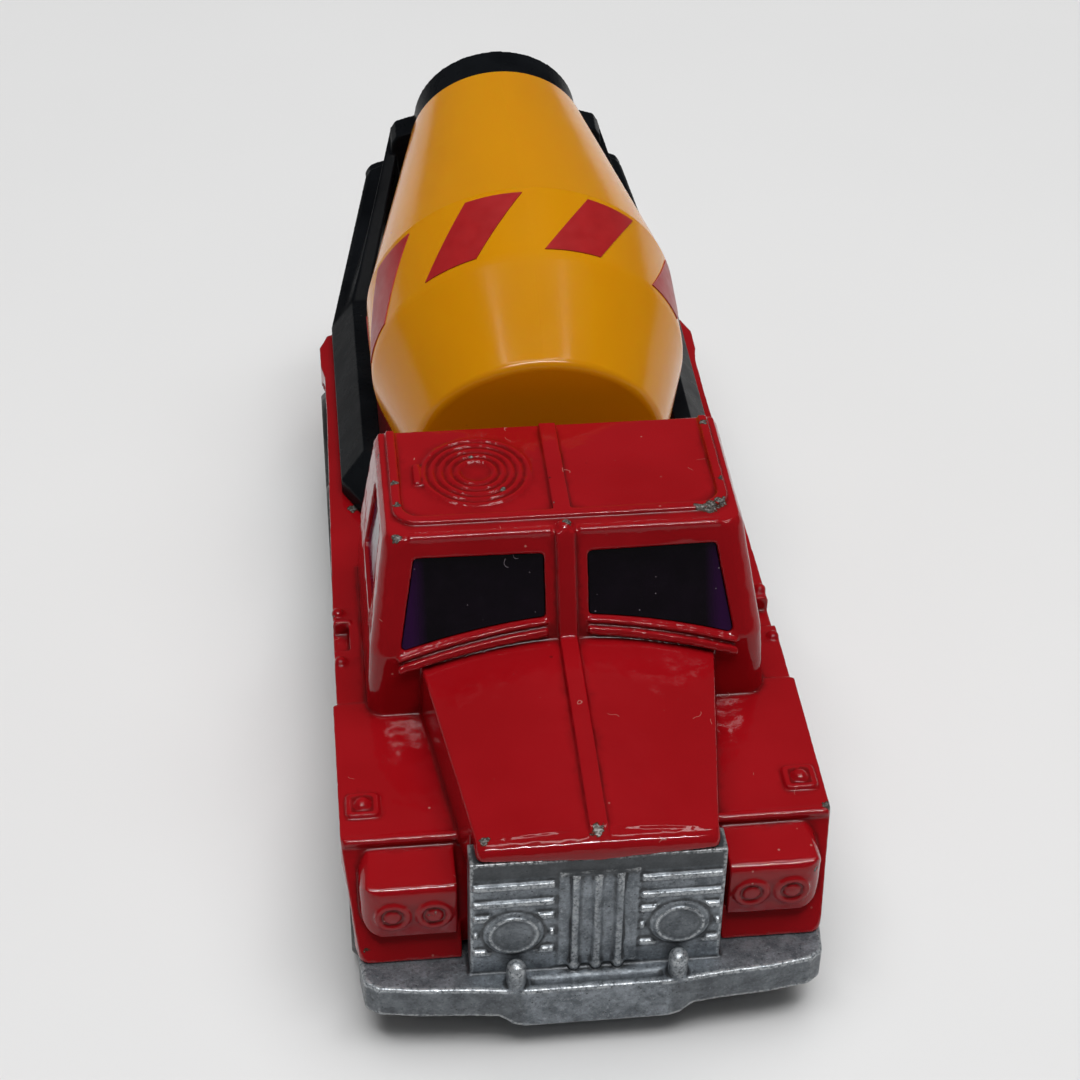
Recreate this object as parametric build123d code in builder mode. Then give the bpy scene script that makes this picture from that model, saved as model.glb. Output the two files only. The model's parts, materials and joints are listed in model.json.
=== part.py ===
"""Toy cement mixer lorry: a die-cast body and base, a moulded drum holder and a drum that turns.

Millimetres, +Z up, front of the lorry towards -Y.  The origin is on the ground under the middle of the
overall box.  Lengthwise places are given as a distance behind the bumper's foremost face, see aft().
"""
import math
import os

from build123d import *

# ---------------------------------------------------------------- driving dimensions
LENGTH = 76.3
FRONT = -LENGTH / 2

# Running gear
AXLE_HEIGHT = 5.2
TYRE_RADIUS = 5.2
WHEEL_INNER_X = 11.2
WHEEL_OUTER_X = 14.6
AXLE_RADIUS = 0.5
WHEEL_BORE_RADIUS = 0.55
HUB_FACE_X = 13.9
HUB_NUT_COUNT = 8
ARCH_RADIUS = 5.9
AXLE_STATIONS = {"front": 10.4, "middle": 42.8, "rear": 54.4}

# Body
DECK_TOP = 12.0
SKIRT_BOTTOM = 5.3
WALL = 1.2
DECK_THICKNESS = 1.0
FENDER_HALF_WIDTH = 14.95
FENDER_TOP = 12.1
BONNET_UNDERSIDE = 14.7
ROOF_TOP = 23.9
RIB_WIDTH = 1.1
RIB_HEIGHT = 0.3

# Base
BASE_BOTTOM = 3.0
BASE_THICKNESS = 1.6
GRILLE_HALF_WIDTH = 7.6
GRILLE_TOP = 14.6
POST_RADIUS = 1.5
POST_STATIONS = (16.6, 58.6)

# Drum: a body of revolution about a line that rises towards the rear
DRUM_TILT = 11.4
DRUM_FACE_STATION = 35.7
DRUM_FACE_HEIGHT = 18.62
DRUM_FRONT_RADIUS = 8.56
DRUM_BAND_START = 7.97
DRUM_BAND_END = 14.57
DRUM_BAND_RADIUS = 11.0
DRUM_LENGTH = 32.3
DRUM_REAR_RADIUS = 6.7
DRUM_WALL = 1.0
DRUM_SHOULDER_FILLET = 2.5
DRUM_FACE_FILLET = 0.7
JOURNAL_RADIUS = 1.4
NECK_RADIUS = 4.9
BEARING_CLEARANCE = 0.08
STRIPE_COUNT = 8
STRIPE_THICKNESS = 0.08
STRIPE_START = 8.4
STRIPE_END = 14.05
STRIPE_WIDTH = 3.9
STRIPE_LEAN = 3.6
STRIPE_PHASE = 24.2

# Drum holder
RAIL_TOP = 15.4
RAIL_KINK_STATION = 60.4
BULKHEAD_STATION = 70.3
PEG_RADIUS = 0.6
PEG_PLACES = [(side * 12.1, FRONT + 48.6, DECK_TOP - DECK_THICKNESS / 2 + 0.05) for side in (-1, 1)]
HOLDER_RING_START = 32.7
HOLDER_RING_END = 35.3
HOLDER_RING_RADIUS = 6.25


# ---------------------------------------------------------------- shared helpers
def aft(distance):
    """Y of a point this far behind the bumper's foremost face."""
    return FRONT + distance


def side_outline(points):
    """Points given as (distance behind the bumper, height), for a sketch on Plane.YZ."""
    return [(aft(distance), height) for distance, height in points]


def mirrored_outline(points):
    """Closed outline from its right half, given as (half width, other) from bottom to top."""
    left = [(-half, other) for half, other in reversed(points) if half > 0]
    return list(points) + left


def plan_outline(points):
    """Closed plan outline from its right half, given as (half width, distance behind the bumper)."""
    return mirrored_outline([(half, aft(distance)) for half, distance in points])


def cross_plane(distance):
    """Vertical plane across the lorry that faces forward, with local x to the right and y up."""
    return Plane(origin=(0, aft(distance), 0), x_dir=(1, 0, 0), z_dir=(0, -1, 0))


tilt = math.radians(DRUM_TILT)
drum_axis = Vector(0, math.cos(tilt), math.sin(tilt))
drum_face = Vector(0, aft(DRUM_FACE_STATION), DRUM_FACE_HEIGHT)
drum_profile_plane = Plane(origin=drum_face, x_dir=drum_axis, z_dir=(1, 0, 0))


def drum_cross_plane(along):
    """Plane square to the drum's axis, this far behind the drum's front face, facing the rear."""
    return Plane(origin=drum_face + drum_axis * along, x_dir=(-1, 0, 0), z_dir=drum_axis)


# The windscreen leans back: this plane has local y running up the glass and faces forward.
SCREEN_FOOT_STATION = 17.9
SCREEN_FOOT_HEIGHT = 16.6
SCREEN_HEAD_STATION = 20.95
SCREEN_HEAD_HEIGHT = 23.45
CAB_SHOULDER_HEIGHT = 23.0
CAB_REAR_STATION = 32.5
CAB_REAR_LEAN = 0.035
screen_up = Vector(0, SCREEN_HEAD_STATION - SCREEN_FOOT_STATION, SCREEN_HEAD_HEIGHT - SCREEN_FOOT_HEIGHT)
screen_plane = Plane(
    origin=(0, aft(SCREEN_FOOT_STATION), SCREEN_FOOT_HEIGHT),
    x_dir=(1, 0, 0),
    z_dir=Vector(1, 0, 0).cross(screen_up),
)


def cab_block(inset, floor):
    """The cab's outer form, shrunk by inset on every side, and cut off level at floor."""
    drop = SCREEN_FOOT_HEIGHT - floor
    roof = ROOF_TOP - RIB_HEIGHT - inset
    side_view = [
        (SCREEN_FOOT_STATION - 0.1 * drop + inset, floor),
        (SCREEN_FOOT_STATION + inset, SCREEN_FOOT_HEIGHT),
        (SCREEN_HEAD_STATION + inset, SCREEN_HEAD_HEIGHT - inset),
        (SCREEN_HEAD_STATION + 0.25 + inset, roof),
        (CAB_REAR_STATION - CAB_REAR_LEAN * (roof - DECK_TOP) - inset, roof),
        (CAB_REAR_STATION - CAB_REAR_LEAN * (floor - DECK_TOP) - inset, floor),
    ]
    front_view = [
        (12.45 + 0.08 * drop - inset, floor),
        (12.45 - inset, SCREEN_FOOT_HEIGHT),
        (11.35 - inset, CAB_SHOULDER_HEIGHT - inset),
        (10.9 - inset, ROOF_TOP - inset),
    ]
    with BuildPart() as block:
        with BuildSketch(Plane.YZ):
            with BuildLine():
                Polyline(*side_outline(side_view), close=True)
            make_face()
        extrude(amount=FENDER_HALF_WIDTH, both=True)
        with BuildSketch(Plane.XZ):
            with BuildLine():
                Polyline(*mirrored_outline(front_view), close=True)
            make_face()
        extrude(amount=LENGTH, both=True, mode=Mode.INTERSECT)
        if inset == 0:
            front_edges = [edge for edge in block.edges() if edge.center().Y < aft(SCREEN_HEAD_STATION)]
            pillars = [edge for edge in front_edges if abs(edge.tangent_at(0.5).X) < 0.9]
            fillet(pillars, radius=1.2)
    return block.part


def bonnet_section(half_width, floor, side_top, crown):
    """Cross section of the bonnet: upright sides that lean out a little under an arched top."""
    with BuildSketch() as section:
        with BuildLine():
            Polyline((-half_width, side_top), (-half_width - 0.2, floor), (half_width + 0.2, floor),
                     (half_width, side_top))
            ThreePointArc((half_width, side_top), (0, crown), (-half_width, side_top))
        make_face()
    return section.sketch


def bonnet_block(inset, front):
    """The bonnet's outer form, shrunk by inset: narrow at the nose, and arched higher at the windscreen."""
    floor = DECK_TOP - 0.5 if inset == 0 else SKIRT_BOTTOM - 1
    with BuildPart() as block:
        for station, half_width, side_top, crown in ((front, 7.1, 15.6, 16.2), (18.6, 9.4, 15.8, 17.15)):
            with BuildSketch(cross_plane(station)):
                section = bonnet_section(half_width - inset, floor, side_top - inset, crown - inset)
                add(section)
                if inset == 0:
                    fillet(section.vertices().group_by(Axis.Y)[1], radius=0.6)
        loft(ruled=True)
    return block.part


def pane_outline(gap):
    """Right-hand windscreen opening on the windscreen plane, made smaller all round by gap."""
    with BuildSketch() as pane:
        with BuildLine():
            Polyline((1.35, 2.0), (1.35, 6.2), (9.5, 6.3), (10.6, 0.2))
            ThreePointArc((10.6, 0.2), (5.3, 1.48), (1.35, 2.0))
        make_face()
        fillet(pane.vertices(), radius=0.3)
        if gap > 0:
            offset(amount=-gap, mode=Mode.REPLACE)
    return pane.sketch


def sill_outline(drop, width):
    """Right-hand strip this far below the windscreen's curved foot, on the windscreen plane."""
    foot = [(10.75, -0.02), (5.7, 1.28), (1.3, 1.95)]
    upper = [(x, y - drop) for x, y in foot]
    lower = [(x, y - drop - width) for x, y in foot]
    with BuildSketch() as strip:
        with BuildLine():
            ThreePointArc(*upper)
            Line(upper[2], lower[2])
            ThreePointArc(*lower)
            Line(lower[0], upper[0])
        make_face()
        fillet(strip.vertices(), radius=0.12)
    return strip.sketch


def side_window_outline(gap):
    """Door window opening seen from the side, made smaller all round by gap."""
    with BuildSketch() as pane:
        with BuildLine():
            outline = [(21.3, 17.2), (23.4, 22.4), (28.6, 22.4), (28.6, 17.2)]
            Polyline(*side_outline(outline), close=True)
        make_face()
        fillet(pane.vertices(), radius=0.6)
        if gap > 0:
            offset(amount=-gap, mode=Mode.REPLACE)
    return pane.sketch


cab_outer = cab_block(0, DECK_TOP - 0.5)
cab_hollow = cab_block(WALL, SKIRT_BOTTOM - 1)
bonnet_outer = bonnet_block(0, 2.5)
bonnet_hollow = bonnet_block(WALL, 3.9)
windscreen_opening = pane_outline(0)
side_window_opening = side_window_outline(0)

# Nose of the bonnet: each half is swept back a little and rolls over to the lip above the grille
NOSE_FRONT = 1.3
NOSE_ROLL = 1.0
NOSE_SWEEP = 3.5
NOSE_DEPTH = 2.2
nose_across = Vector(1, 0, 0).rotate(Axis.Z, NOSE_SWEEP)
roll_angles = [math.radians(angle) for angle in (10, 28, 46, 68, 90)]
nose_steps = [(NOSE_ROLL * (1 - math.cos(angle)), NOSE_ROLL * (1 - math.sin(angle))) for angle in roll_angles]
with BuildPart() as right_nose:
    for setback, fall in nose_steps + [(NOSE_DEPTH, 0)]:
        half_width = 7.3 - 0.5 * fall
        plane = Plane(origin=(0, aft(NOSE_FRONT + setback), 0), x_dir=nose_across,
                      z_dir=nose_across.cross(Vector(0, 0, 1)))
        with BuildSketch(plane):
            with BuildLine():
                Polyline((0, 16.2 - fall), (0, BONNET_UNDERSIDE), (half_width, BONNET_UNDERSIDE),
                         (half_width - 0.1, 15.35 - 0.6 * fall), (half_width - 0.5, 15.68 - fall), close=True)
            make_face()
    loft(ruled=True)

# Right-hand lamp pod: its front edges are rolled over and its outer end is rounded
POD_INNER_X = 8.2
POD_OUTER_X = 14.0
POD_BOTTOM = 7.25
POD_TOP = 11.2
POD_FRONT = 3.2
LAMP_XS = (9.6, 12.1)
LAMP_Z = 9.05
with BuildPart() as right_pod:
    with BuildSketch(Plane.YZ) as pod_side:
        with BuildLine():
            Polyline(*side_outline([(POD_FRONT, POD_BOTTOM), (POD_FRONT, POD_TOP), (7.4, POD_TOP + 0.3),
                                    (7.4, POD_BOTTOM)]), close=True)
        make_face()
        front_corners = pod_side.vertices().group_by(Axis.X)[0].sort_by(Axis.Y)
        fillet(front_corners[-1], radius=0.7)
    extrude(amount=POD_OUTER_X)
    with BuildSketch(Plane.XY) as pod_plan:
        with Locations(((POD_INNER_X + POD_OUTER_X) / 2, aft(POD_FRONT + 2.5))):
            Rectangle(POD_OUTER_X - POD_INNER_X, 5)
        fillet(pod_plan.vertices().group_by(Axis.Y)[0].sort_by(Axis.X)[-1], radius=1.3)
    extrude(amount=20, mode=Mode.INTERSECT)
    with BuildSketch(cross_plane(0)) as pod_front:
        with Locations(((POD_INNER_X + POD_OUTER_X) / 2, (POD_BOTTOM + POD_TOP + 0.4) / 2)):
            Rectangle(POD_OUTER_X - POD_INNER_X, POD_TOP + 0.4 - POD_BOTTOM)
        fillet(pod_front.vertices().group_by(Axis.X)[-1], radius=1.4)
    extrude(amount=-10, mode=Mode.INTERSECT)
    with BuildSketch(cross_plane(POD_FRONT + 0.1)):
        with Locations(*[(x, LAMP_Z) for x in LAMP_XS]):
            Circle(1.08)
            Circle(0.75, mode=Mode.SUBTRACT)
            Circle(0.5)
    extrude(amount=0.3)

# ---------------------------------------------------------------- body casting
DECK_HALF_OUTLINE = [
    (14.72, 18.6), (14.7, 25.0), (14.25, 51.0), (14.25, 55.5), (14.5, 57.0), (14.5, 59.4), (13.9, 61.0),
    (13.3, 61.3),
]
DECK_OPENING_HALF_WIDTH = 8.4
DECK_OPENING_FRONT = 34.6
DECK_OPENING_REAR = 55.4
MARKER_PLACES = [(side * 13.5, aft(9.5)) for side in (-1, 1)]

with BuildPart() as body_casting:
    # Fenders and the two front panels
    with BuildSketch(Plane.YZ):
        with BuildLine():
            fender_side = [(2.9, SKIRT_BOTTOM), (6.6, 11.5), (6.9, FENDER_TOP), (18.8, FENDER_TOP),
                           (18.8, SKIRT_BOTTOM)]
            Polyline(*side_outline(fender_side), close=True)
        make_face()
    extrude(amount=FENDER_HALF_WIDTH, both=True)
    with BuildSketch(Plane.XY) as fender_plan:
        with BuildLine():
            Polyline(*plan_outline([(14.1, 2.9), (14.95, 6.9), (14.95, 18.7), (14.72, 18.8)]), close=True)
        make_face()
        fillet(fender_plan.vertices().group_by(Axis.Y)[0], radius=0.9)
    extrude(amount=30, mode=Mode.INTERSECT)

    # Deck with its side skirts
    with BuildSketch(Plane.XY.offset(SKIRT_BOTTOM)):
        with BuildLine():
            Polyline(*plan_outline(DECK_HALF_OUTLINE), close=True)
        make_face()
    extrude(amount=DECK_TOP - SKIRT_BOTTOM)
    rear_corners = body_casting.edges().filter_by(Axis.Z).group_by(Axis.Y)[-1]
    fillet(rear_corners, radius=0.6)
    add(bonnet_outer)
    add(cab_outer)
    for half in (right_nose.part, right_pod.part):
        add(half)
        add(half.mirror(Plane.YZ))

    # Hollow underneath
    with BuildSketch(Plane.XY.offset(SKIRT_BOTTOM - 1)):
        with BuildLine():
            Polyline(*plan_outline([(13.5, 7.0), (13.5, 24.0), (13.0, 51.0), (13.0, 60.2)]), close=True)
        make_face()
    extrude(amount=DECK_TOP - DECK_THICKNESS - SKIRT_BOTTOM + 1, mode=Mode.SUBTRACT)
    with BuildSketch(Plane.YZ):
        with BuildLine():
            behind_panel = [(4.2, SKIRT_BOTTOM - 1), (4.2, SKIRT_BOTTOM), (7.4, 10.9), (8.0, 10.9),
                            (8.0, SKIRT_BOTTOM - 1)]
            Polyline(*side_outline(behind_panel), close=True)
        make_face()
    extrude(amount=13.2, both=True, mode=Mode.SUBTRACT)
    add(bonnet_hollow, mode=Mode.SUBTRACT)
    add(cab_hollow, mode=Mode.SUBTRACT)

    # Pocket for the grille between the front panels
    with BuildSketch(Plane.XY.offset(SKIRT_BOTTOM - 1)):
        with Locations((0, aft(2.0))):
            Rectangle(2 * 7.95, 4.4)
    extrude(amount=BONNET_UNDERSIDE - SKIRT_BOTTOM + 1, mode=Mode.SUBTRACT)

    # Wheel arches through the skirts
    for station in AXLE_STATIONS.values():
        for side in (-1, 1):
            with BuildSketch(Plane.YZ.offset(side * 12.8)):
                with Locations((aft(station), AXLE_HEIGHT)):
                    Circle(ARCH_RADIUS)
            extrude(amount=side * 4, mode=Mode.SUBTRACT)

    # Deck opening under the drum
    with BuildSketch(Plane.XY.offset(DECK_TOP - 2)):
        with Locations((0, aft((DECK_OPENING_FRONT + DECK_OPENING_REAR) / 2))):
            RectangleRounded(2 * DECK_OPENING_HALF_WIDTH, DECK_OPENING_REAR - DECK_OPENING_FRONT, 1.5)
    extrude(amount=3, mode=Mode.SUBTRACT)

    # Windscreen and door window openings
    for mirror_plane in (None, Plane.YZ):
        with BuildSketch(screen_plane.offset(0.6)):
            add(windscreen_opening if mirror_plane is None else windscreen_opening.mirror(mirror_plane))
        extrude(amount=-2.6, mode=Mode.SUBTRACT)
    with BuildSketch(Plane.YZ):
        add(side_window_opening)
    extrude(amount=14, both=True, mode=Mode.SUBTRACT)

    # Roof: a rolled rim along the front and both sides, and a rib down the middle
    roof_level = ROOF_TOP - RIB_HEIGHT
    with BuildSketch(Plane.XY.offset(roof_level - 0.2)):
        with Locations((0, aft(28.2))):
            RectangleRounded(21.2, 12.1, 1.7)
            RectangleRounded(20.0, 10.7, 1.2, mode=Mode.SUBTRACT)
        with Locations((0, aft(27.2))):
            Rectangle(RIB_WIDTH, 10)
        with Locations((0, aft(34))):
            Rectangle(30, 4.1, mode=Mode.SUBTRACT)
    extrude(amount=RIB_HEIGHT + 0.2)

    # Rib down the windscreen pillar with a knob over the brow, and along the bonnet
    with BuildSketch(screen_plane):
        with Locations((0, 3.9)):
            Rectangle(RIB_WIDTH, 7.4)
    extrude(amount=RIB_HEIGHT)
    with Locations((0, aft(21.3), roof_level - 0.15)):
        Sphere(0.6)
    with BuildSketch(Plane.YZ):
        with BuildLine():
            bonnet_rib = [(1.7, 15.7), (1.95, 16.15), (2.5, 16.5), (18.4, 17.15 + RIB_HEIGHT), (18.4, 16.4),
                          (3.0, 15.7)]
            Polyline(*side_outline(bonnet_rib), close=True)
        make_face()
    extrude(amount=RIB_WIDTH / 2, both=True)

    # Rings of the roof hatch and the handle beside it
    for ring_radius in (1.2, 1.75, 2.3, 2.85, 3.4):
        with Locations((-5.05, aft(27.3), roof_level)):
            Torus(ring_radius, 0.18)
    with Locations((-8.85, aft(27.2), roof_level)):
        Box(0.45, 2.0, 0.6)

    # Marker plates on the fenders: a raised rim round a domed lens
    with BuildSketch(Plane.XY.offset(FENDER_TOP - 0.1)):
        with Locations(*MARKER_PLACES):
            RectangleRounded(2.0, 1.95, 0.35)
    extrude(amount=0.3)
    with BuildSketch(Plane.XY.offset(FENDER_TOP + 0.1)):
        with Locations(*MARKER_PLACES):
            RectangleRounded(2.0, 1.95, 0.35)
            RectangleRounded(1.5, 1.45, 0.2, mode=Mode.SUBTRACT)
    extrude(amount=0.2)
    with Locations(*[(x, y, FENDER_TOP + 0.1) for x, y in MARKER_PLACES]):
        Sphere(0.55)

    # Rolled bead along the top of each front panel, and a bead over each windscreen
    for side in (-1, 1):
        with Locations((side * 11.3, aft(6.85), FENDER_TOP - 0.25)):
            Cylinder(0.33, 7.0, rotation=(0, 90, 0))
        with Locations((side * 5.3, aft(21.2), roof_level - 0.22)):
            Cylinder(0.32, 8.8, rotation=(0, 90, 0))

    # Two mouldings that follow the foot of each windscreen
    for mirror_plane in (None, Plane.YZ):
        for drop, width, height in ((0.05, 0.3, 0.2), (0.6, 0.5, 0.38)):
            moulding = sill_outline(drop, width)
            with BuildSketch(screen_plane):
                add(moulding if mirror_plane is None else moulding.mirror(mirror_plane))
            extrude(amount=height)

    # Side steps: a notch in each edge of the deck with a bar behind it and a knob at both ends
    for side in (-1, 1):
        with Locations((side * 14.6, aft(25.35), DECK_TOP)):
            Box(1.9, 2.5, 1.7, mode=Mode.SUBTRACT)
        with Locations((side * 14.05, aft(26.8), DECK_TOP)):
            Box(1.1, 0.35, 0.45)
        with Locations((side * 14.3, aft(22.9), DECK_TOP), (side * 14.3, aft(27.75), DECK_TOP)):
            Sphere(0.42)

    # Holes for the drum holder's pegs
    with Locations(*PEG_PLACES):
        Cylinder(PEG_RADIUS, 3, mode=Mode.SUBTRACT)

    # Ribs that hold the axles down in the base, and the two riveting posts
    for station in AXLE_STATIONS.values():
        for side in (-1, 1):
            with Locations((side * 9.85, aft(station), (AXLE_HEIGHT + AXLE_RADIUS + DECK_TOP - 0.5) / 2)):
                Box(1.0, 1.4, DECK_TOP - 0.5 - AXLE_HEIGHT - AXLE_RADIUS)
    for station, top in zip(POST_STATIONS, (15.8, 11.5)):
        with BuildSketch(Plane.XY.offset(BASE_BOTTOM + 0.3)):
            with Locations((0, aft(station))):
                Circle(POST_RADIUS)
        extrude(amount=top - BASE_BOTTOM - 0.3)

body_casting.part.label = "body_casting"

# ---------------------------------------------------------------- base casting
BASE_TOP = BASE_BOTTOM + BASE_THICKNESS
PLATE_BOTTOM = 1.95
BUMPER_BOTTOM = 2.8
BUMPER_TOP = 5.2
GRILLE_FACE = 1.65
LAMP_X = 5.0
LAMP_HEIGHT = 8.65
LAMP_RADIUS = 1.74
OVERRIDER_X = 4.9
OVERRIDER_RADIUS = 0.6
OVERRIDER_TOP = 7.15
SIDE_BAR_HEIGHTS = (12.75, 11.3, 10.1, 8.65, 7.15)
SIDE_BAR_WIDTH = 0.42
MIDDLE_BAR_XS = (-1.33, 0, 1.33)
MIDDLE_BAR_WIDTH = 0.42
GROOVE_WIDTH = 0.18

with BuildPart() as base_casting:
    # Bumper: swept-back ends, a deeper centre whose face is a blank plate, and a shallow channel on top
    with BuildSketch(Plane.XY.offset(PLATE_BOTTOM)):
        with BuildLine():
            bumper_half = [(4.6, 0), (7.7, 0.38), (10.7, 0.6), (13.2, 1.0), (14.0, 1.6), (14.3, 4.2),
                           (13.4, 4.2), (13.0, 3.4), (0, 3.4)]
            Polyline(*plan_outline(bumper_half), close=True)
        make_face()
    extrude(amount=BUMPER_TOP - PLATE_BOTTOM)
    end_corners = base_casting.edges().filter_by(Axis.Z).filter_by(lambda edge: abs(edge.center().X) > 13.9)
    fillet(end_corners, radius=0.5)
    with BuildSketch(cross_plane(-1)):
        with BuildLine():
            front_half = [(4.4, PLATE_BOTTOM), (5.1, 2.15), (5.9, BUMPER_BOTTOM), (15, BUMPER_BOTTOM),
                          (15, BUMPER_TOP)]
            Polyline(*mirrored_outline(front_half), close=True)
        make_face()
    extrude(amount=-6, mode=Mode.INTERSECT)
    with Locations((0, aft(2.9), BUMPER_BOTTOM - 1)):
        Box(15, 2, 2, mode=Mode.SUBTRACT)
    with Locations((0, aft(0.75), BUMPER_TOP)):
        Box(8.2, 0.6, 0.24, mode=Mode.SUBTRACT)

    # Floor, narrow between each pair of wheels and wide between the axles
    with BuildSketch(Plane.XY.offset(BASE_BOTTOM)):
        with BuildLine():
            floor_half = [
                (7.5, GRILLE_FACE), (7.9, 4.0), (10.7, 4.6), (10.7, 17.0), (12.9, 17.6), (12.9, 36.6),
                (10.7, 37.2), (10.7, 59.9),
            ]
            Polyline(*plan_outline(floor_half), close=True)
        make_face()
    extrude(amount=BASE_THICKNESS)

    # Overriders: round-nosed posts, half sunk in the bumper's face
    for side in (-1, 1):
        with BuildSketch(Plane.XY.offset(BUMPER_BOTTOM + 0.6)):
            with Locations((side * OVERRIDER_X, aft(OVERRIDER_RADIUS + 0.06))):
                Circle(OVERRIDER_RADIUS)
        extrude(amount=OVERRIDER_TOP - OVERRIDER_RADIUS - BUMPER_BOTTOM - 0.6)
        with Locations((side * OVERRIDER_X, aft(OVERRIDER_RADIUS + 0.06), OVERRIDER_TOP - OVERRIDER_RADIUS)):
            Sphere(OVERRIDER_RADIUS)

    # Grille plate: long bars above the lamps, short ones beside them
    with Locations((0, aft(GRILLE_FACE + 0.9), (BASE_TOP + GRILLE_TOP) / 2)):
        Box(2 * GRILLE_HALF_WIDTH, 1.8, GRILLE_TOP - BASE_TOP)
    with BuildSketch(cross_plane(GRILLE_FACE)):
        for height in SIDE_BAR_HEIGHTS:
            with Locations((-LAMP_X, height), (LAMP_X, height)):
                Rectangle(4.8, SIDE_BAR_WIDTH)
        with Locations((-LAMP_X, LAMP_HEIGHT), (LAMP_X, LAMP_HEIGHT)):
            Circle(LAMP_RADIUS + 0.4, mode=Mode.SUBTRACT)
    extrude(amount=0.27)

    # Raised middle panel with three grooved bars that end in small knobs
    with BuildSketch(cross_plane(GRILLE_FACE)):
        with Locations((0.1, 9.6)):
            Rectangle(4.7, 8.0)
        with Locations(*[(x, 9.4) for x in MIDDLE_BAR_XS]):
            Rectangle(MIDDLE_BAR_WIDTH + 2 * GROOVE_WIDTH, 7.8, mode=Mode.SUBTRACT)
    extrude(amount=0.1)
    with BuildSketch(cross_plane(GRILLE_FACE)):
        with Locations(*[(x, 9.4) for x in MIDDLE_BAR_XS]):
            Rectangle(MIDDLE_BAR_WIDTH, 7.8)
    extrude(amount=0.28)
    with Locations(*[(x, aft(GRILLE_FACE - 0.1), 5.6) for x in MIDDLE_BAR_XS]):
        Sphere(0.36)

    # Headlamps: a low disc with a fine raised rim round the lens
    for outer, inner, height in ((LAMP_RADIUS, 0, 0.14), (1.52, 0, 0.24), (1.52, 1.36, 0.32)):
        with BuildSketch(cross_plane(GRILLE_FACE)):
            with Locations((-LAMP_X, LAMP_HEIGHT), (LAMP_X, LAMP_HEIGHT)):
                Circle(outer)
                if inner > 0:
                    Circle(inner, mode=Mode.SUBTRACT)
        extrude(amount=height)

    # Lugs with an open slot for each axle
    for station in AXLE_STATIONS.values():
        for side in (-1, 1):
            with Locations((side * 9.85, aft(station), (BASE_TOP + 5.6) / 2)):
                Box(1.4, 2.6, 5.6 - BASE_TOP)
    for station in AXLE_STATIONS.values():
        with BuildSketch(Plane.YZ):
            with Locations((aft(station), AXLE_HEIGHT)):
                Circle(AXLE_RADIUS)
            with Locations((aft(station), AXLE_HEIGHT + 0.5)):
                Rectangle(2 * AXLE_RADIUS, 1.0)
        extrude(amount=12, both=True, mode=Mode.SUBTRACT)

    # Holes for the riveting posts
    for station in POST_STATIONS:
        with Locations((0, aft(station), BASE_BOTTOM + BASE_THICKNESS / 2)):
            Cylinder(POST_RADIUS, BASE_THICKNESS, mode=Mode.SUBTRACT)

base_casting.part.label = "base_casting"

# ---------------------------------------------------------------- tinted window moulding
GLAZING_GAP = 0.06
GLAZING_THICKNESS = 0.8
PANE_SETBACK = 0.25
glazing_inner = cab_block(WALL + GLAZING_GAP + GLAZING_THICKNESS, 15.0)
glazing_outer = cab_block(WALL + GLAZING_GAP, 16.0)
pane_limit = cab_block(PANE_SETBACK, 15.0)
windscreen_pane = pane_outline(0.08)
side_window_pane = side_window_outline(0.08)

with BuildPart() as window_glazing:
    # Panes that stand in the windscreen and door openings
    with BuildSketch(screen_plane.offset(0.5)):
        add(windscreen_pane)
        add(windscreen_pane.mirror(Plane.YZ))
    extrude(amount=-2.2)
    with BuildSketch(Plane.YZ):
        add(side_window_pane)
    extrude(amount=14, both=True)
    add(pane_limit, mode=Mode.INTERSECT)

    # The shell inside the cab that joins them
    add(glazing_outer)
    add(glazing_inner, mode=Mode.SUBTRACT)
window_glazing.part.label = "window_glazing"

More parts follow.
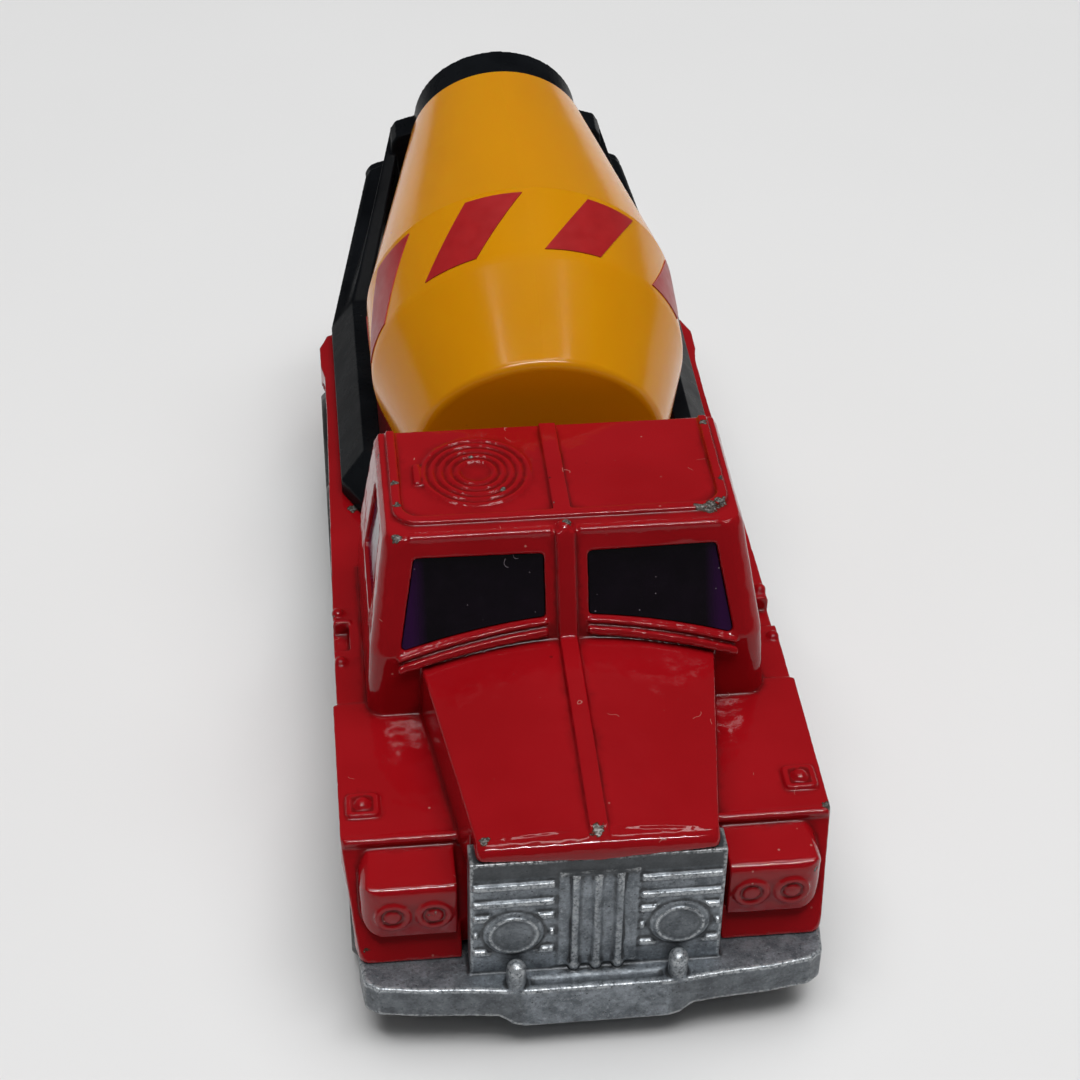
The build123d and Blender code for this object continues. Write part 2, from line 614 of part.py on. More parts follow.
# ---------------------------------------------------------------- drum holder
with BuildPart() as drum_holder:
    # Frame on the deck: two rails joined by a bar in front of the drum
    with BuildSketch(Plane.XY.offset(DECK_TOP)):
        with BuildLine():
            Polyline(*plan_outline([(9.9, 33.5), (12.05, 37.9), (13.5, 40.9), (13.5, RAIL_KINK_STATION)]),
                     close=True)
        make_face()
        with BuildLine():
            Polyline(*plan_outline([(8.6, 35.3), (10.6, 39.0), (10.6, RAIL_KINK_STATION)]), close=True)
        make_face(mode=Mode.SUBTRACT)
    extrude(amount=RAIL_TOP - DECK_TOP)
    rail_top_edges = drum_holder.faces().sort_by(Axis.Z)[-1].edges()
    outer_top_edges = [
        edge for edge in rail_top_edges
        if abs(edge.center().X) > 10.7 and edge.center().Y < aft(RAIL_KINK_STATION - 1)
    ]
    chamfer(outer_top_edges, length=2.2, length2=1.7)
    with Locations(*PEG_PLACES):
        Cylinder(PEG_RADIUS, DECK_THICKNESS + 0.1)

    # Side plates that rise from the rails to the bulkhead, with a step along the top
    for side in (-1, 1):
        with BuildSketch(cross_plane(RAIL_KINK_STATION)):
            with BuildLine():
                foot = [(10.6, 12.0), (13.5, 12.0), (13.5, 13.2), (12.93, 13.93), (12.37, 14.67), (11.8, 15.4),
                        (10.6, 15.4)]
                Polyline(*[(side * x, z) for x, z in foot], close=True)
            make_face()
        with BuildSketch(cross_plane(BULKHEAD_STATION)):
            with BuildLine():
                head = [(7.2, 13.5), (10.15, 13.5), (10.15, 20.7), (9.7, 21.3), (8.5, 21.8), (8.1, 24.8),
                        (7.2, 25.0)]
                Polyline(*[(side * x, z) for x, z in head], close=True)
            make_face()
        loft(ruled=True)

    # Bulkhead square to the drum's axis, with a rounded hood over the drum's neck
    with BuildSketch(drum_cross_plane(HOLDER_RING_START + 0.6)):
        with BuildLine():
            shoulders = [(9.9, -11.5), (10.15, -5.2), (9.75, -4.5), (8.5, -4.0), (8.1, -0.8), (7.7, -0.1),
                         (6.1, 0.4)]
            Polyline(*mirrored_outline(shoulders), close=True)
        make_face()
        Circle(HOLDER_RING_RADIUS)
    extrude(amount=HOLDER_RING_END - HOLDER_RING_START - 0.6)
    with BuildSketch(drum_cross_plane(HOLDER_RING_START)):
        Circle(HOLDER_RING_RADIUS)
    extrude(amount=HOLDER_RING_END - HOLDER_RING_START)

    # Front bracket that carries the drum's journal
    with BuildSketch(drum_cross_plane(-2.0)):
        with Locations((0, -2.4)):
            Rectangle(6.4, 4.8)
        Circle(3.2)
        with BuildLine():
            Polyline((-3.2, -4.0), (3.2, -4.0), (4.2, -6.9), (-4.2, -6.9), close=True)
        make_face()
        Circle(JOURNAL_RADIUS + BEARING_CLEARANCE, mode=Mode.SUBTRACT)
    extrude(amount=1.3)

    # Chute: an open trough that falls away behind the bulkhead
    with BuildSketch(Plane.YZ):
        with BuildLine():
            trough = [(70.0, 20.6), (LENGTH, 15.2), (LENGTH - 0.8, 14.2), (70.0, 19.2)]
            Polyline(*side_outline(trough), close=True)
        make_face()
    extrude(amount=3.6, both=True)
    for side in (-1, 1):
        with BuildSketch(Plane.YZ.offset(side * 2.8)):
            with BuildLine():
                cheek = [(70.0, 22.8), (72.0, 22.2), (LENGTH, 17.4), (LENGTH, 15.2), (LENGTH - 0.8, 14.2),
                         (70.0, 19.2)]
                Polyline(*side_outline(cheek), close=True)
            make_face()
        extrude(amount=side * 0.8)

    # Bore for the drum's neck
    with BuildSketch(drum_cross_plane(HOLDER_RING_START - 1)):
        Circle(NECK_RADIUS + BEARING_CLEARANCE)
    extrude(amount=6, mode=Mode.SUBTRACT)
drum_holder.part.label = "drum_holder"

# ---------------------------------------------------------------- drum, in two shells joined at the band
with BuildPart() as drum_front_shell:
    with BuildSketch(drum_profile_plane) as front_profile:
        with BuildLine():
            Polyline((0, 0), (0, DRUM_FRONT_RADIUS), (DRUM_BAND_START, DRUM_BAND_RADIUS),
                     (DRUM_BAND_END, DRUM_BAND_RADIUS), (DRUM_BAND_END, DRUM_BAND_RADIUS - DRUM_WALL),
                     (DRUM_BAND_START, DRUM_BAND_RADIUS - DRUM_WALL), (DRUM_WALL, DRUM_FRONT_RADIUS - 0.9),
                     (DRUM_WALL, 0), close=True)
        make_face()
        for along, radius, fillet_radius in ((0, DRUM_FRONT_RADIUS, DRUM_FACE_FILLET),
                                             (DRUM_BAND_START, DRUM_BAND_RADIUS, DRUM_SHOULDER_FILLET)):
            corner = front_profile.vertices().sort_by_distance((along, radius, 0))[0]
            fillet(corner, radius=fillet_radius)
    revolve(axis=Axis(drum_face, drum_axis))
    with BuildSketch(drum_cross_plane(-2.2)):
        Circle(JOURNAL_RADIUS)
    extrude(amount=2.4)
drum_front_shell.part.label = "drum_front_shell"

with BuildPart() as drum_rear_shell:
    with BuildSketch(drum_profile_plane):
        with BuildLine():
            spigot_radius = DRUM_BAND_RADIUS - DRUM_WALL - 0.05
            Polyline((DRUM_BAND_END, spigot_radius), (DRUM_BAND_END, DRUM_BAND_RADIUS),
                     (DRUM_LENGTH, DRUM_REAR_RADIUS), (DRUM_LENGTH, NECK_RADIUS),
                     (HOLDER_RING_END - 0.5, NECK_RADIUS), (HOLDER_RING_END - 0.5, NECK_RADIUS - 1.0),
                     (HOLDER_RING_END - 1.6, NECK_RADIUS - 1.0), (HOLDER_RING_END - 1.6, 0),
                     (HOLDER_RING_END - 2.6, 0), (HOLDER_RING_END - 2.6, NECK_RADIUS - 1.0),
                     (DRUM_LENGTH - 0.8, NECK_RADIUS - 1.0), (DRUM_LENGTH - 1.0, DRUM_REAR_RADIUS - 0.9),
                     (DRUM_BAND_END, spigot_radius - DRUM_WALL), (DRUM_BAND_END - 1.5, spigot_radius - DRUM_WALL),
                     (DRUM_BAND_END - 1.5, spigot_radius), close=True)
        make_face()
    revolve(axis=Axis(drum_face, drum_axis))
drum_rear_shell.part.label = "drum_rear_shell"

# Slanting warning stripes stuck round the drum's band
stripes = []
for number in range(STRIPE_COUNT):
    turn = math.radians(360 / STRIPE_COUNT * number + STRIPE_PHASE)
    outward = Vector(math.sin(turn), -math.sin(tilt) * math.cos(turn), math.cos(tilt) * math.cos(turn))
    radial_plane = Plane(origin=drum_face, x_dir=drum_axis, z_dir=outward)
    with BuildPart() as stripe:
        with BuildSketch(radial_plane.offset(DRUM_BAND_RADIUS - 2)):
            with BuildLine():
                lean = STRIPE_LEAN / 2
                half = STRIPE_WIDTH / 2
                Polyline((STRIPE_START, lean - half), (STRIPE_START, lean + half), (STRIPE_END, half - lean),
                         (STRIPE_END, -half - lean), close=True)
            make_face()
        extrude(amount=4)
        with BuildSketch(drum_cross_plane(0)):
            Circle(DRUM_BAND_RADIUS + STRIPE_THICKNESS)
        extrude(amount=DRUM_LENGTH, mode=Mode.INTERSECT)
        with BuildSketch(drum_cross_plane(0)):
            Circle(DRUM_BAND_RADIUS)
        extrude(amount=DRUM_LENGTH, mode=Mode.SUBTRACT)
    stripe.part.label = f"stripe_label_{number + 1}"
    stripes.append(stripe)

# ---------------------------------------------------------------- axles and wheels
axles = []
wheels = []
for name, station in AXLE_STATIONS.items():
    with BuildPart() as axle:
        with Locations((0, aft(station), AXLE_HEIGHT)):
            Cylinder(AXLE_RADIUS, 2 * (WHEEL_OUTER_X - 0.2), rotation=(0, 90, 0))
        for side in (-1, 1):
            with Locations((side * (WHEEL_OUTER_X - 0.2), aft(station), AXLE_HEIGHT)):
                Cylinder(0.95, 0.4, rotation=(0, 90, 0))
    axle.part.label = f"axle_{name}"
    axles.append(axle)
    for side, side_name in ((-1, "left"), (1, "right")):
        with BuildPart() as wheel:
            with BuildSketch(Plane(origin=(0, aft(station), AXLE_HEIGHT), x_dir=(side, 0, 0), z_dir=(0, -1, 0))):
                with BuildLine():
                    Polyline((WHEEL_INNER_X, WHEEL_BORE_RADIUS), (WHEEL_INNER_X, TYRE_RADIUS - 0.5),
                             (WHEEL_INNER_X + 0.5, TYRE_RADIUS), (WHEEL_OUTER_X - 0.5, TYRE_RADIUS),
                             (WHEEL_OUTER_X, TYRE_RADIUS - 0.5), (WHEEL_OUTER_X, 3.4), (HUB_FACE_X, 3.1),
                             (HUB_FACE_X, 1.5), (WHEEL_OUTER_X - 0.5, 1.3),
                             (WHEEL_OUTER_X - 0.5, WHEEL_BORE_RADIUS), close=True)
                make_face()
            revolve(axis=Axis((0, aft(station), AXLE_HEIGHT), (1, 0, 0)))
            with BuildSketch(Plane(origin=(side * HUB_FACE_X, aft(station), AXLE_HEIGHT), x_dir=(0, 1, 0),
                                   z_dir=(side, 0, 0))):
                with PolarLocations(2.3, HUB_NUT_COUNT):
                    Circle(0.32)
            extrude(amount=0.3)
        wheel.part.label = f"wheel_{name}_{side_name}"
        wheels.append(wheel)

# ---------------------------------------------------------------- write the nodes
os.makedirs("parts", exist_ok=True)
pieces = [body_casting, base_casting, window_glazing, drum_holder, drum_front_shell, drum_rear_shell]
for piece in pieces + stripes + axles + wheels:
    export_step(piece.part, f"parts/{piece.part.label}.step")
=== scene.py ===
"""Looks for the toy cement mixer: softened castings, procedural materials and a small studio."""
import json
import math

import bpy
import numpy as np
from mathutils import Matrix, Vector


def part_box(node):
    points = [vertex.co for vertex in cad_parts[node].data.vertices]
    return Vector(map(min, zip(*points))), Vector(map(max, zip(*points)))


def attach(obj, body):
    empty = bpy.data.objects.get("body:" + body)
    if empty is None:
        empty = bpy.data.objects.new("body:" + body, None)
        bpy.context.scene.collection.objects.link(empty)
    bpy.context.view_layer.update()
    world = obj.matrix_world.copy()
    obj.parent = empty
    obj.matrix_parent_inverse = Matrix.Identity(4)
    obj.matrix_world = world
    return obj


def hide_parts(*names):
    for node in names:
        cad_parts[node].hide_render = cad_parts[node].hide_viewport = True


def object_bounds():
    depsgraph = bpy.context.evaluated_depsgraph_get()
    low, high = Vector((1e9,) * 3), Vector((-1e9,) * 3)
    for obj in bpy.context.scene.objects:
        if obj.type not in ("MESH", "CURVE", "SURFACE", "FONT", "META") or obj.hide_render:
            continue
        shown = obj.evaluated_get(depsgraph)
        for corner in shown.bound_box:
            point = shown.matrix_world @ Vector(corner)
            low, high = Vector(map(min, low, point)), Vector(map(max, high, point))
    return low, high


MM = 0.001

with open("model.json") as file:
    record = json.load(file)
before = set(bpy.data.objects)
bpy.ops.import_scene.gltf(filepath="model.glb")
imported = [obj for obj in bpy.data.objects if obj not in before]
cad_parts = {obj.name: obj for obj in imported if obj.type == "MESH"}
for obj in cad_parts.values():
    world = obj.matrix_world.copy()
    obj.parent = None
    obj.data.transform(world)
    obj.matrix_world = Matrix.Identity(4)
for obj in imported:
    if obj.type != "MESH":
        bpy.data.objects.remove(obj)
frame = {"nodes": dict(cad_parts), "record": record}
cad_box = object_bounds()


# ---------------------------------------------------------------- meshes
def mesh_arrays(mesh):
    """The mesh's points, point normals and edges as numpy arrays."""
    count = len(mesh.vertices)
    points = np.empty(count * 3)
    mesh.vertices.foreach_get("co", points)
    normals = np.empty(count * 3)
    mesh.vertices.foreach_get("normal", normals)
    edges = np.empty(len(mesh.edges) * 2, int)
    mesh.edges.foreach_get("vertices", edges)
    return points.reshape(-1, 3), normals.reshape(-1, 3), edges.reshape(-1, 2)


def store(mesh, name, values):
    """Keeps one number per point as an attribute that a material can read."""
    layer = mesh.attributes.new(name, "FLOAT", "POINT")
    layer.data.foreach_set("value", np.ascontiguousarray(values, dtype=np.float32))


def spread(values, edges, rounds):
    """Averages a value per point with its neighbours'."""
    both = np.concatenate([edges, edges[:, ::-1]])
    share = np.bincount(both[:, 0], minlength=len(values)) + 1
    for _ in range(rounds):
        total = np.bincount(both[:, 0], weights=values[both[:, 1]], minlength=len(values))
        values = (values + total) / share
    return values


def mark_curvature(mesh, scale=0.6 * MM):
    """Stores where the surface bulges (attribute convex) and where it is hollow (concave)."""
    points, normals, edges = mesh_arrays(mesh)
    both = np.concatenate([edges, edges[:, ::-1]])
    step = points[both[:, 1]] - points[both[:, 0]]
    squared = (step ** 2).sum(1) + 1e-16
    bend = -2 * (normals[both[:, 0]] * step).sum(1) / squared
    number = np.maximum(np.bincount(both[:, 0], minlength=len(points)), 1)
    curvature = np.bincount(both[:, 0], weights=bend, minlength=len(points)) / number
    curvature = spread(curvature, edges, 3) * scale
    store(mesh, "convex", np.clip(curvature, 0, 1))
    store(mesh, "concave", np.clip(-curvature, 0, 1))


def mark_spots(mesh, name, spots):
    """Stores how deep each point lies inside the nearest spot: x, y, z and radius in millimetres."""
    points = mesh_arrays(mesh)[0]
    depth = np.full(len(points), -1.0)
    for x, y, z, radius in spots:
        away = np.linalg.norm(points - np.array((x, y, z)) * MM, axis=1)
        depth = np.maximum(depth, 1 - away / (radius * MM))
    store(mesh, name, np.clip(depth, -1, 1))


def mark_dish(mesh, wheel, radius):
    """Stores how far each point lies inside a wheel's dished outer face (dish), 0 elsewhere."""
    points = mesh_arrays(mesh)[0]
    low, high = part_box(wheel)
    hub = np.array((low + high) / 2)
    outward = (points[:, 0] - hub[0]) * np.sign(hub[0])
    away = np.hypot(points[:, 1] - hub[1], points[:, 2] - hub[2])
    store(mesh, "dish", np.clip((radius - away) / (0.2 * MM) + 0.5, 0, 1) * (outward > 0.4 * MM))


def softened(node, name, body, voxel, rounds, faces, unevenness=0.0):
    """A copy of a CAD node with a casting's rounded, slightly uneven edges. It stands for the node."""
    piece = bpy.data.objects.new(name, frame["nodes"][node].data.copy())
    bpy.context.collection.objects.link(piece)
    remesh = piece.modifiers.new("remesh", "REMESH")
    remesh.mode = "VOXEL"
    remesh.voxel_size = voxel
    smooth = piece.modifiers.new("smooth", "SMOOTH")
    smooth.factor = 0.5
    smooth.iterations = rounds
    if unevenness:
        waves = bpy.data.textures.new(name + "_waves", "CLOUDS")
        waves.noise_scale = 1.0 * MM
        uneven = piece.modifiers.new("uneven", "DISPLACE")
        uneven.texture = waves
        uneven.texture_coords = "LOCAL"
        uneven.strength = unevenness
    graph = bpy.context.evaluated_depsgraph_get()
    triangles = 2 * len(piece.evaluated_get(graph).data.polygons)
    thin = piece.modifiers.new("thin", "DECIMATE")
    thin.ratio = min(1.0, faces / triangles)
    graph = bpy.context.evaluated_depsgraph_get()
    mesh = bpy.data.meshes.new_from_object(piece.evaluated_get(graph))
    piece.modifiers.clear()
    piece.data = mesh
    mesh.name = name
    mesh.shade_smooth()
    mark_curvature(mesh)
    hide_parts(node)
    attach(piece, body)
    return piece


def dress(piece, material):
    """Gives a piece one material."""
    piece.data.materials.clear()
    piece.data.materials.append(material)


def dress_node(node, material):
    """Gives a CAD node one material, through its object's own slot."""
    thing = frame["nodes"][node]
    for place in thing.material_slots:
        place.link = "OBJECT"
        place.material = material


# ---------------------------------------------------------------- materials
class Surface:
    """A Principled material and short ways to add procedural detail to it."""

    def __init__(self, name):
        self.material = bpy.data.materials.new(name)
        self.material.use_nodes = True
        self.nodes = self.material.node_tree.nodes
        self.links = self.material.node_tree.links
        self.shader = self.nodes["Principled BSDF"]
        self.place = self.nodes.new("ShaderNodeTexCoord").outputs["Object"]

    def set(self, **sockets):
        """Sets sockets of the shader: a value, or an output to link."""
        for name, value in sockets.items():
            self.give(self.shader.inputs[name.replace("_", " ")], value)
        return self

    def give(self, socket, value):
        if isinstance(value, bpy.types.NodeSocket):
            self.links.new(value, socket)
        else:
            socket.default_value = value

    def noise(self, size, detail=3.0, roughness=0.55, stretch=(1, 1, 1), shift=0.0):
        """Noise with features of this size in metres, centred on 0.5."""
        mapping = self.nodes.new("ShaderNodeMapping")
        mapping.inputs["Scale"].default_value = stretch
        mapping.inputs["Location"].default_value = (shift, shift * 0.7, shift * 1.3)
        self.links.new(self.place, mapping.inputs["Vector"])
        texture = self.nodes.new("ShaderNodeTexNoise")
        texture.inputs["Scale"].default_value = 1 / size
        texture.inputs["Detail"].default_value = detail
        texture.inputs["Roughness"].default_value = roughness
        self.links.new(mapping.outputs[0], texture.inputs["Vector"])
        return texture.outputs["Fac"]

    def specks(self, size, radius, shift=0.0):
        """1 inside scattered round specks: one per size metres, radius as a share of size."""
        mapping = self.nodes.new("ShaderNodeMapping")
        mapping.inputs["Location"].default_value = (shift, shift, -shift)
        self.links.new(self.place, mapping.inputs["Vector"])
        texture = self.nodes.new("ShaderNodeTexVoronoi")
        texture.inputs["Scale"].default_value = 1 / size
        self.links.new(mapping.outputs[0], texture.inputs["Vector"])
        return self.ramp(texture.outputs["Distance"], radius, radius * 0.6)

    def along(self, axis):
        """The position along the lorry's X, Y or Z axis, in metres."""
        node = self.nodes.new("ShaderNodeSeparateXYZ")
        self.links.new(self.place, node.inputs[0])
        return node.outputs[axis]

    def lint(self, size, shift, thinness=0.006):
        """1 along sparse short curved hairs, found as thin level lines of a noise."""
        line = self.math("ABSOLUTE", self.math("SUBTRACT", self.noise(size, 1, shift=shift), 0.5))
        sparse = self.ramp(self.noise(size * 1.3, 1, shift=shift + 2.7), 0.71, 0.72)
        return self.math("MULTIPLY", self.ramp(line, thinness, thinness * 0.5), sparse)

    def attribute(self, name):
        node = self.nodes.new("ShaderNodeAttribute")
        node.attribute_name = name
        return node.outputs["Fac"]

    def math(self, operation, first, second=0.0):
        node = self.nodes.new("ShaderNodeMath")
        node.operation = operation
        self.give(node.inputs[0], first)
        self.give(node.inputs[1], second)
        return node.outputs[0]

    def ramp(self, value, low, high, from_value=0.0, to_value=1.0):
        """value mapped from low..high to from_value..to_value, clamped. low may be the larger."""
        node = self.nodes.new("ShaderNodeMapRange")
        node.inputs["From Min"].default_value = low
        node.inputs["From Max"].default_value = high
        node.inputs["To Min"].default_value = from_value
        node.inputs["To Max"].default_value = to_value
        self.give(node.inputs["Value"], value)
        return node.outputs["Result"]

    def mix(self, factor, first, second):
        """A colour between two, each an output or (r, g, b)."""
        node = self.nodes.new("ShaderNodeMix")
        node.data_type = "RGBA"
        self.give(node.inputs[0], factor)
        for socket, colour in ((node.inputs[6], first), (node.inputs[7], second)):
            self.give(socket, colour if isinstance(colour, bpy.types.NodeSocket) else (*colour, 1))
        return node.outputs[2]

    def bump(self, *layers):
        """Stacks bumps, each (height, depth in metres), and gives the result to the shader's normal."""
        normal = None
        for height, depth in layers:
            node = self.nodes.new("ShaderNodeBump")
            node.inputs["Distance"].default_value = depth
            self.give(node.inputs["Height"], height)
            if normal is not None:
                self.links.new(normal, node.inputs["Normal"])
            normal = node.outputs[0]
        self.links.new(normal, self.shader.inputs["Normal"])
        return self


def enamel():
    """Thick glossy red enamel on zinc: orange peel, thin worn edges, chips down to metal, dust."""
    s = Surface("red_enamel")
    broad = s.noise(7 * MM, detail=2)
    paint = s.mix(s.ramp(broad, 0.35, 0.65), (0.255, 0.0030, 0.0055), (0.285, 0.0042, 0.0075))
    # Painted shade: the paint turns darker red in concave creases and hollows.
    paint = s.mix(s.ramp(s.attribute("concave"), 0.10, 0.7, 0, 0.75), paint, (0.09, 0.0005, 0.001))
    ragged = s.noise(0.35 * MM, detail=4)
    spot = s.math("ADD", s.attribute("chip"), s.math("MULTIPLY", s.math("SUBTRACT", ragged, 0.5), 1.6))
    rim = s.ramp(spot, 0.20, 0.26)
    spot = s.ramp(spot, 0.30, 0.36)
    edge = s.ramp(s.attribute("convex"), 0.35, 0.7)
    worn = s.math("MULTIPLY", edge, s.ramp(s.noise(2.2 * MM, 4), 0.69, 0.73))
    worn = s.math("MULTIPLY", worn, s.ramp(ragged, 0.5, 0.56))
    bare = s.math("MAXIMUM", spot, worn)
    dust = s.math("MULTIPLY", s.specks(1.7 * MM, 0.055), s.ramp(s.noise(6 * MM), 0.46, 0.56))
    dust = s.math("MAXIMUM", dust, s.lint(1.5 * MM, 4.0))
    paint = s.mix(dust, paint, (0.38, 0.13, 0.11))
    grime = s.ramp(s.noise(7 * MM, shift=1.9), 0.48, 0.58)
    grime = s.math("MULTIPLY", s.specks(2.6 * MM, 0.05, 5.3), grime)
    paint = s.mix(grime, paint, (0.03, 0.004, 0.004))
    paint = s.mix(rim, paint, (0.080, 0.016, 0.008))
    metal = s.mix(s.ramp(s.noise(0.13 * MM, 3), 0.48, 0.60), (0.055, 0.046, 0.040), (0.20, 0.19, 0.18))
    s.set(Base_Color=s.mix(bare, paint, metal))
    s.set(Metallic=s.math("MULTIPLY", bare, 0.3))
    gloss = s.ramp(s.noise(1.6 * MM, 4), 0.3, 0.7, 0.05, 0.11)
    gloss = s.math("MAXIMUM", gloss, s.ramp(s.attribute("concave"), 0.1, 0.4, 0.0, 0.2))
    s.set(Roughness=s.math("MAXIMUM", gloss, s.math("MULTIPLY", bare, 0.5)))
    s.set(IOR=1.35)
    s.bump(
        (s.noise(3.0 * MM, 2), 0.030 * MM),
        (s.noise(0.7 * MM, 3), 0.011 * MM),
        (s.math("SUBTRACT", 0.0, bare), 0.05 * MM),
    )
    return s.material


def zinc():
    """Bare die-cast zinc: a mottled, pitted grey skin with painted shade in its hollows, rubbed bright on
    its edges and given a painted highlight there.
    """
    s = Surface("bare_zinc")
    mottle = s.noise(1.1 * MM, 7, 0.7)
    metal = s.mix(s.ramp(mottle, 0.38, 0.64), (0.105, 0.119, 0.134), (0.250, 0.276, 0.302))
    grain = s.noise(0.22 * MM, 4, 0.7)
    metal = s.mix(s.ramp(grain, 0.54, 0.68, 0, 0.6), metal, (0.035, 0.037, 0.040))
    metal = s.mix(s.ramp(grain, 0.42, 0.34, 0, 0.35), metal, (0.44, 0.47, 0.50))
    # Darker zinc low on the bumper beside its plate and in the lamp lenses, and painted shade under the
    # bonnet's nose
    beside_plate = s.ramp(s.math("ABSOLUTE", s.along("X")), 4.3 * MM, 4.7 * MM)
    shade_and_darkening = s.math("MULTIPLY", beside_plate, s.ramp(s.along("Z"), 5.1 * MM, 4.8 * MM, 0, 0.45))
    # Painted shade under the bonnet's nose, over the top of the grille.
    shade_and_darkening = s.math("MAXIMUM", shade_and_darkening, s.ramp(s.along("Z"), 12.9 * MM, 13.4 * MM, 0, 0.85))
    shade_and_darkening = s.math("MAXIMUM", shade_and_darkening, s.ramp(s.attribute("lens"), 0.0, 0.2, 0, 0.3))
    metal = s.mix(shade_and_darkening, metal, (0.040, 0.043, 0.046))
    pits = s.math("MULTIPLY", s.specks(0.42 * MM, 0.15, 2.2), s.ramp(s.noise(1.7 * MM), 0.45, 0.55))
    metal = s.mix(s.math("MULTIPLY", pits, 0.8), metal, (0.012, 0.012, 0.013))
    # Painted shade: the zinc turns darker in the casting's hollows.
    metal = s.mix(s.ramp(s.attribute("concave"), 0.15, 0.7, 0, 0.75), metal, (0.022, 0.022, 0.023))
    # Lighter on convex edges: rubbed bare wear, with a painted highlight on top of it.
    rubbed_edge_and_highlight = s.math("MULTIPLY", s.ramp(s.attribute("convex"), 0.2, 0.6), s.ramp(grain, 0.60, 0.44))
    metal = s.mix(s.math("MULTIPLY", rubbed_edge_and_highlight, 0.5), metal, (0.62, 0.64, 0.65))
    s.set(Base_Color=metal, Metallic=0.6)
    rough = s.ramp(mottle, 0.3, 0.7, 0.50, 0.36)
    s.set(Roughness=s.math("SUBTRACT", rough, s.math("MULTIPLY", rubbed_edge_and_highlight, 0.12)))
    s.bump(
        (s.noise(0.8 * MM, 4), 0.06 * MM),
        (grain, 0.03 * MM),
        (s.math("SUBTRACT", 0.0, pits), 0.03 * MM),
    )
    return s.material


def black_plastic():
    """Black moulded plastic with a soft sheen, fine grain and a little dust."""
    s = Surface("black_plastic")
    tone = s.ramp(s.noise(4 * MM), 0.35, 0.65)
    colour = s.mix(tone, (0.0035, 0.0040, 0.0050), (0.0065, 0.0075, 0.0090))
    colour = s.mix(s.specks(1.9 * MM, 0.035, 3.1), colour, (0.10, 0.095, 0.09))
    rough = s.ramp(s.noise(1.1 * MM, 4), 0.3, 0.7, 0.24, 0.34)
    s.set(Base_Color=colour, Roughness=rough, IOR=1.09)
    s.bump((s.noise(2.4 * MM, 2), 0.03 * MM), (s.noise(0.2 * MM, 2), 0.004 * MM))
    return s.material


def drum_plastic():
    """Orange-yellow translucent plastic: smooth, with faint flow marks and a faint painted glow that lifts
    its shaded faces.
    """
    s = Surface("drum_plastic")
    flow = s.noise(9 * MM, 3, stretch=(1, 0.35, 1))
    colour = s.mix(s.ramp(flow, 0.35, 0.65), (0.43, 0.186, 0.0005), (0.47, 0.210, 0.0005))
    dark = s.math("MULTIPLY", s.specks(3.7 * MM, 0.03, 1.7), s.ramp(s.noise(6 * MM), 0.52, 0.58))
    colour = s.mix(dark, colour, (0.12, 0.04, 0.005))
    rough = s.ramp(s.noise(2.6 * MM, 3), 0.3, 0.7, 0.14, 0.19)
    s.set(Base_Color=colour, Roughness=rough, IOR=1.34)
    s.set(Subsurface_Weight=0.25, Subsurface_Scale=1.2 * MM)
    # Painted glow: a faint emission that lifts the drum's shaded faces; the drum is no lamp.
    s.set(Emission_Color=(1.0, 0.24, 0.0, 1.0), Emission_Strength=0.11)
    s.bump((s.noise(5 * MM, 2), 0.03 * MM), (s.noise(0.5 * MM, 2), 0.0015 * MM))
    return s.material


def stripe_film():
    """Red printed film on the drum."""
    s = Surface("stripe_red")
    ink = s.mix(s.ramp(s.noise(1.4 * MM, 4), 0.35, 0.65), (0.30, 0.0050, 0.0070), (0.34, 0.0080, 0.010))
    s.set(Base_Color=ink, Roughness=s.ramp(s.noise(0.9 * MM, 4), 0.3, 0.7, 0.30, 0.42))
    s.bump((s.noise(0.4 * MM, 2), 0.004 * MM))
    return s.material


def tinted_window():
    """Very dark purple glazing with dust and lint."""
    s = Surface("tinted_window")
    haze = s.ramp(s.noise(3 * MM, 4), 0.4, 0.7)
    colour = s.mix(haze, (0.0020, 0.0008, 0.0026), (0.0045, 0.0020, 0.0055))
    # Painted glow: the panes turn lighter purple towards their outer edges.
    outward = s.math("ABSOLUTE", s.along("X"))
    colour = s.mix(s.ramp(outward, 8.8 * MM, 9.8 * MM), colour, (0.022, 0.0020, 0.034))
    dust = s.math("MULTIPLY", s.specks(0.8 * MM, 0.075, 0.9), s.ramp(s.noise(3 * MM), 0.46, 0.56))
    dust = s.math("MAXIMUM", dust, s.lint(1.4 * MM, 7.7, 0.008))
    s.set(Base_Color=s.mix(dust, colour, (0.17, 0.15, 0.17)))
    s.set(Roughness=s.ramp(s.noise(0.7 * MM, 4), 0.35, 0.7, 0.07, 0.16))
    s.set(IOR=1.45)
    s.bump((s.noise(4 * MM, 2), 0.03 * MM))
    return s.material


def steel_wire():
    """Drawn steel wire with turned ends."""
    s = Surface("axle_steel")
    colour = s.mix(s.noise(0.8 * MM, 4), (0.32, 0.31, 0.30), (0.55, 0.54, 0.53))
    s.set(Base_Color=colour, Metallic=1.0, Roughness=s.ramp(s.noise(0.4 * MM, 3), 0.3, 0.7, 0.25, 0.45))
    s.bump((s.noise(0.3 * MM, 3), 0.01 * MM))
    return s.material


